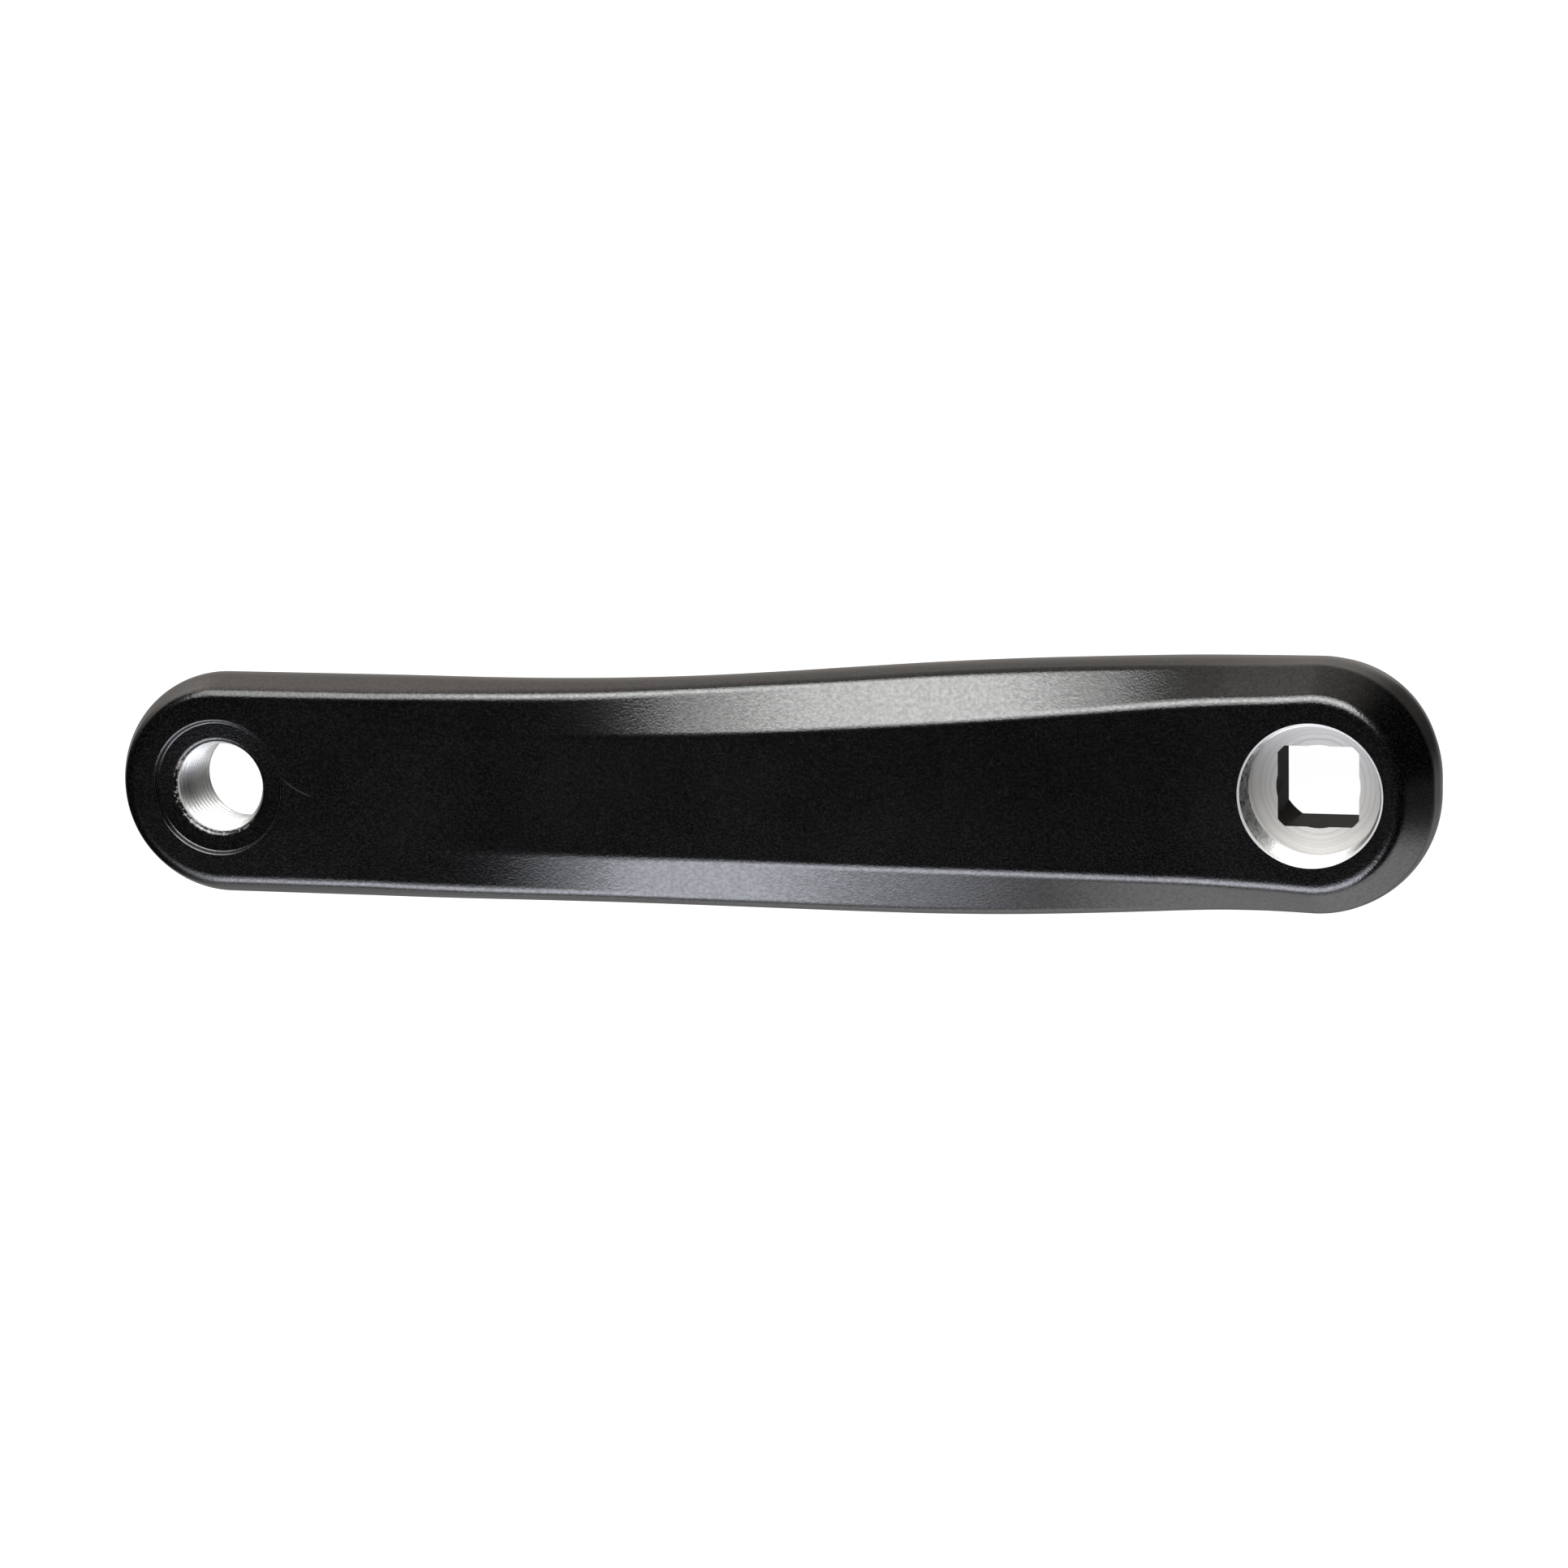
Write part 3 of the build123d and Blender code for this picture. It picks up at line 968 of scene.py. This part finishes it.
def turning_rings(make, place, wander, pitch):
    """Uneven rings round the spindle axis, as a value from 0 to 1."""
    radius = distance_from(make, place, SPINDLE_PLACE)
    along = make.math("MULTIPLY_ADD", wander, RING_WANDER, make.math("DIVIDE", radius, pitch))
    rings = make.add("ShaderNodeTexNoise", {
        "W": along, "Scale": 1.0, "Detail": FINE_DETAIL}, noise_dimensions="1D")
    return rings.outputs["Fac"]


def bare_metal(name, color, roughness, metallic=1.0):
    """Machined aluminium with uneven turning marks round the spindle axis."""
    material, make, shader = new_material(name)
    place = make.place()
    wander = make.noise(place, WANDER_SIZE, FINE_DETAIL)
    marks = make.bump(turning_rings(make, place, wander, TURNING_PITCH), TURNING_HEIGHT)
    grit = make.bump(make.noise(place, GRIT_SIZE, FINE_DETAIL), GRIT_HEIGHT)
    make.feed(grit.inputs["Normal"], marks.outputs["Normal"])
    rough = make.remap(wander, NOISE_SPAN, spread_round(roughness, METAL_SPREAD))
    flat = make.vector("MULTIPLY", place, WITHOUT_HEIGHT)["Vector"]
    make.feed(shader.inputs["Roughness"], rough)
    make.feed(shader.inputs["Tangent"], make.vector("NORMALIZE", flat)["Vector"])
    make.feed(shader.inputs["Normal"], grit.outputs["Normal"])
    shader.inputs["Base Color"].default_value = opaque(color)
    shader.inputs["Metallic"].default_value = metallic
    shader.inputs["Anisotropic"].default_value = TURNING_SPREAD
    return material


def ringed_metal(name, color, roughness, metallic):
    """Bare metal whose turning marks also show as paler and darker rings."""
    material = bare_metal(name, color, roughness, metallic)
    make = NodeMaker(material.node_tree)
    place = make.place()
    wander = make.noise(place, WANDER_SIZE, FINE_DETAIL)
    shade = make.remap(turning_rings(make, place, wander, RING_PITCH), RING_RANGE)
    dull = [part * RING_SHADE for part in color]
    make.feed(lone_shader(material).inputs["Base Color"], make.mix(shade, color, dull))
    return material


def dark_patched_metal(name, color, roughness):
    """Bare metal with dark mottled patches that grow stronger towards the pedal side."""
    material = bare_metal(name, color, roughness)
    make = NodeMaker(material.node_tree)
    place = make.place()
    along = make.add("ShaderNodeSeparateXYZ", {"Vector": place}).outputs["X"]
    amount = make.remap(along, DARK_PATCH_SIDE, (0.0, DARK_PATCH_LEVEL))
    dark_patches = make.remap(make.noise(place, DARK_PATCH_SIZE, RICH_DETAIL), DARK_PATCH_RANGE, (0.0, amount))
    make.feed(lone_shader(material).inputs["Base Color"], make.mix(dark_patches, color, DARK_PATCH_COLOR))
    return material


def add_floor(stage):
    """Grey floor that looks white to the camera and isn't shown in reflections."""
    mesh = bpy.data.meshes.new("floor")
    sides = ((-1, -1), (1, -1), (1, 1), (-1, 1))
    corners = [(x * FLOOR_HALF, y * FLOOR_HALF, CAD_BOX[0].z) for x, y in sides]
    mesh.from_pydata(corners, [], [tuple(range(len(corners)))])
    floor = link_object(mesh, "floor")
    material, make, shader = new_material("white_floor")
    shader.inputs["Base Color"].default_value = opaque(stage.floor_color)
    shader.inputs["Roughness"].default_value = FLOOR_ROUGHNESS
    shader.inputs["Specular IOR Level"].default_value = FLOOR_SHEEN
    shader.inputs["Emission Color"].default_value = opaque(WHITE)
    seen = make.add("ShaderNodeLightPath").outputs["Is Camera Ray"]
    make.feed(shader.inputs["Emission Strength"], make.math("MULTIPLY", seen, FLOOR_GLOW))
    mesh.materials.append(material)
    floor.visible_glossy = False


def add_strip(name, layers, side, brightness, color):
    """Strip light along the arm, to one side and above it, facing the arm."""
    for number, (middle_x, length, height, share) in enumerate(layers):
        distance = STRIP_DISTANCE + number * LAYER_GAP
        lamp = bpy.data.lights.new(name, "AREA")
        lamp.shape = "RECTANGLE"
        lamp.size = length
        lamp.size_y = height
        lamp.color = color
        lamp.energy = brightness * share * pi * length * height
        strip = bpy.data.objects.new(name, lamp)
        strip.location = (middle_x, side * distance * sin(STRIP_ANGLE), distance * cos(STRIP_ANGLE))
        strip.rotation_euler = (-side * STRIP_ANGLE, 0.0, 0.0)
        bpy.context.scene.collection.objects.link(strip)


def surroundings_ramp(make, parts):
    """Brightness round the compass: at the horizon in red and below it in green."""
    compass = make.math("ARCTAN2", parts["Y"], parts["X"])
    share = make.math("MULTIPLY_ADD", compass, 1 / radians(FULL_CIRCLE), RAMP_MIDDLE)
    ramp = make.add("ShaderNodeValToRGB", {"Fac": share})
    ramp.color_ramp.interpolation = "EASE"
    stops = ramp.color_ramp.elements
    while len(stops) < len(SURROUNDINGS):
        stops.new(RAMP_MIDDLE)
    for stop, (angle, horizon, below) in zip(stops, SURROUNDINGS):
        stop.position = angle / FULL_CIRCLE + RAMP_MIDDLE
        stop.color = (horizon, below, 0.0, 1.0)
    return make.add("ShaderNodeSeparateColor", {"Color": ramp.outputs["Color"]}).outputs


def add_world():
    """White to the camera; reflections show soft surroundings at and below the horizon."""
    world = bpy.data.worlds.new("studio")
    world.use_nodes = True
    make = NodeMaker(world.node_tree)
    path = make.add("ShaderNodeLightPath").outputs
    way = make.add("ShaderNodeTexCoord").outputs["Generated"]
    parts = make.add("ShaderNodeSeparateXYZ", {"Vector": way}).outputs
    levels = surroundings_ramp(make, parts)
    low = make.remap(parts["Z"], SURROUNDINGS_HEIGHTS, (1.0, 0.0), "SMOOTHSTEP")
    level = make.remap(parts["Z"], BELOW_HEIGHTS, (levels["Green"], levels["Red"]), "SMOOTHSTEP")
    mirrored = make.math("MAXIMUM", path["Is Glossy Ray"], path["Is Transmission Ray"])
    soft = make.math("MULTIPLY", mirrored, make.math("MULTIPLY", level, low))
    ambient = make.math("MULTIPLY", path["Is Diffuse Ray"], AMBIENT)
    strength = make.math("ADD", make.math("ADD", path["Is Camera Ray"], soft), ambient)
    far_side = make.remap(parts["Y"], WARM_SIDES, (0.0, mirrored), "SMOOTHSTEP")
    back = world.node_tree.nodes["Background"]
    make.feed(back.inputs["Color"], make.mix(far_side, WHITE, SURROUNDINGS_WARM))
    make.feed(back.inputs["Strength"], strength)
    bpy.context.scene.world = world


def add_camera():
    camera = bpy.data.cameras.new("camera")
    camera.sensor_width = CAMERA_SENSOR
    camera.lens = CAMERA_LENS
    camera.clip_start = CAMERA_NEAR
    holder = bpy.data.objects.new("camera", camera)
    turn = Matrix.Identity(3)
    for axis, angle in CAMERA_TURNS:
        turn = turn @ Matrix.Rotation(angle, 3, axis)
    holder.matrix_world = Matrix.Translation(CAMERA_PLACE) @ turn.transposed().to_4x4()
    bpy.context.scene.collection.objects.link(holder)
    bpy.context.scene.camera = holder


class CRANK_OT_studio(bpy.types.Operator):
    """Set up the floor, the lights and the camera"""

    bl_idname = "crank.studio"
    bl_label = "Set Up Studio"

    def execute(self, context):
        stage = context.scene.crank_stage
        add_floor(stage)
        add_strip("upper_strip", UPPER_LAYERS, 1, stage.upper_light, UPPER_COLOR)
        add_strip("lower_strip", LOWER_LAYERS, -1, stage.lower_light, LOWER_COLOR)
        add_world()
        add_camera()
        context.scene.view_settings.view_transform = "Standard"
        return {"FINISHED"}


class CRANK_PT_sidebar(bpy.types.Panel):
    """Sizes, finish and steps of the crank arm"""

    bl_idname = "CRANK_PT_sidebar"
    bl_label = "Crank Arm"
    bl_space_type = "VIEW_3D"
    bl_region_type = "UI"
    bl_category = "Crank Arm"

    def draw(self, context):
        for group in (context.scene.crank_form, context.scene.crank_bores,
                      context.scene.crank_finish, context.scene.crank_stage):
            box = self.layout.box()
            for name in group.__annotations__:
                box.prop(group, name)
        for operator in (CRANK_OT_forging, CRANK_OT_threads, CRANK_OT_studio):
            self.layout.operator(operator.bl_idname)


CLASSES = (CrankFormSettings, CrankBoreSettings, CrankFinishSettings, CrankStageSettings,
           CRANK_OT_forging, CRANK_OT_threads, CRANK_OT_studio, CRANK_PT_sidebar)
SETTINGS = {"crank_form": CrankFormSettings, "crank_bores": CrankBoreSettings,
            "crank_finish": CrankFinishSettings, "crank_stage": CrankStageSettings}


def register():
    for cls in CLASSES:
        bpy.utils.register_class(cls)
    for name, cls in SETTINGS.items():
        setattr(bpy.types.Scene, name, bpy.props.PointerProperty(type=cls))


def unregister():
    for name in SETTINGS:
        delattr(bpy.types.Scene, name)
    for cls in reversed(CLASSES):
        bpy.utils.unregister_class(cls)


def main():
    register()
    bpy.ops.crank.forging()
    bpy.ops.crank.threads()
    bpy.ops.crank.studio()
    bpy.context.view_layer.update()


if __name__ == "__main__":
    main()
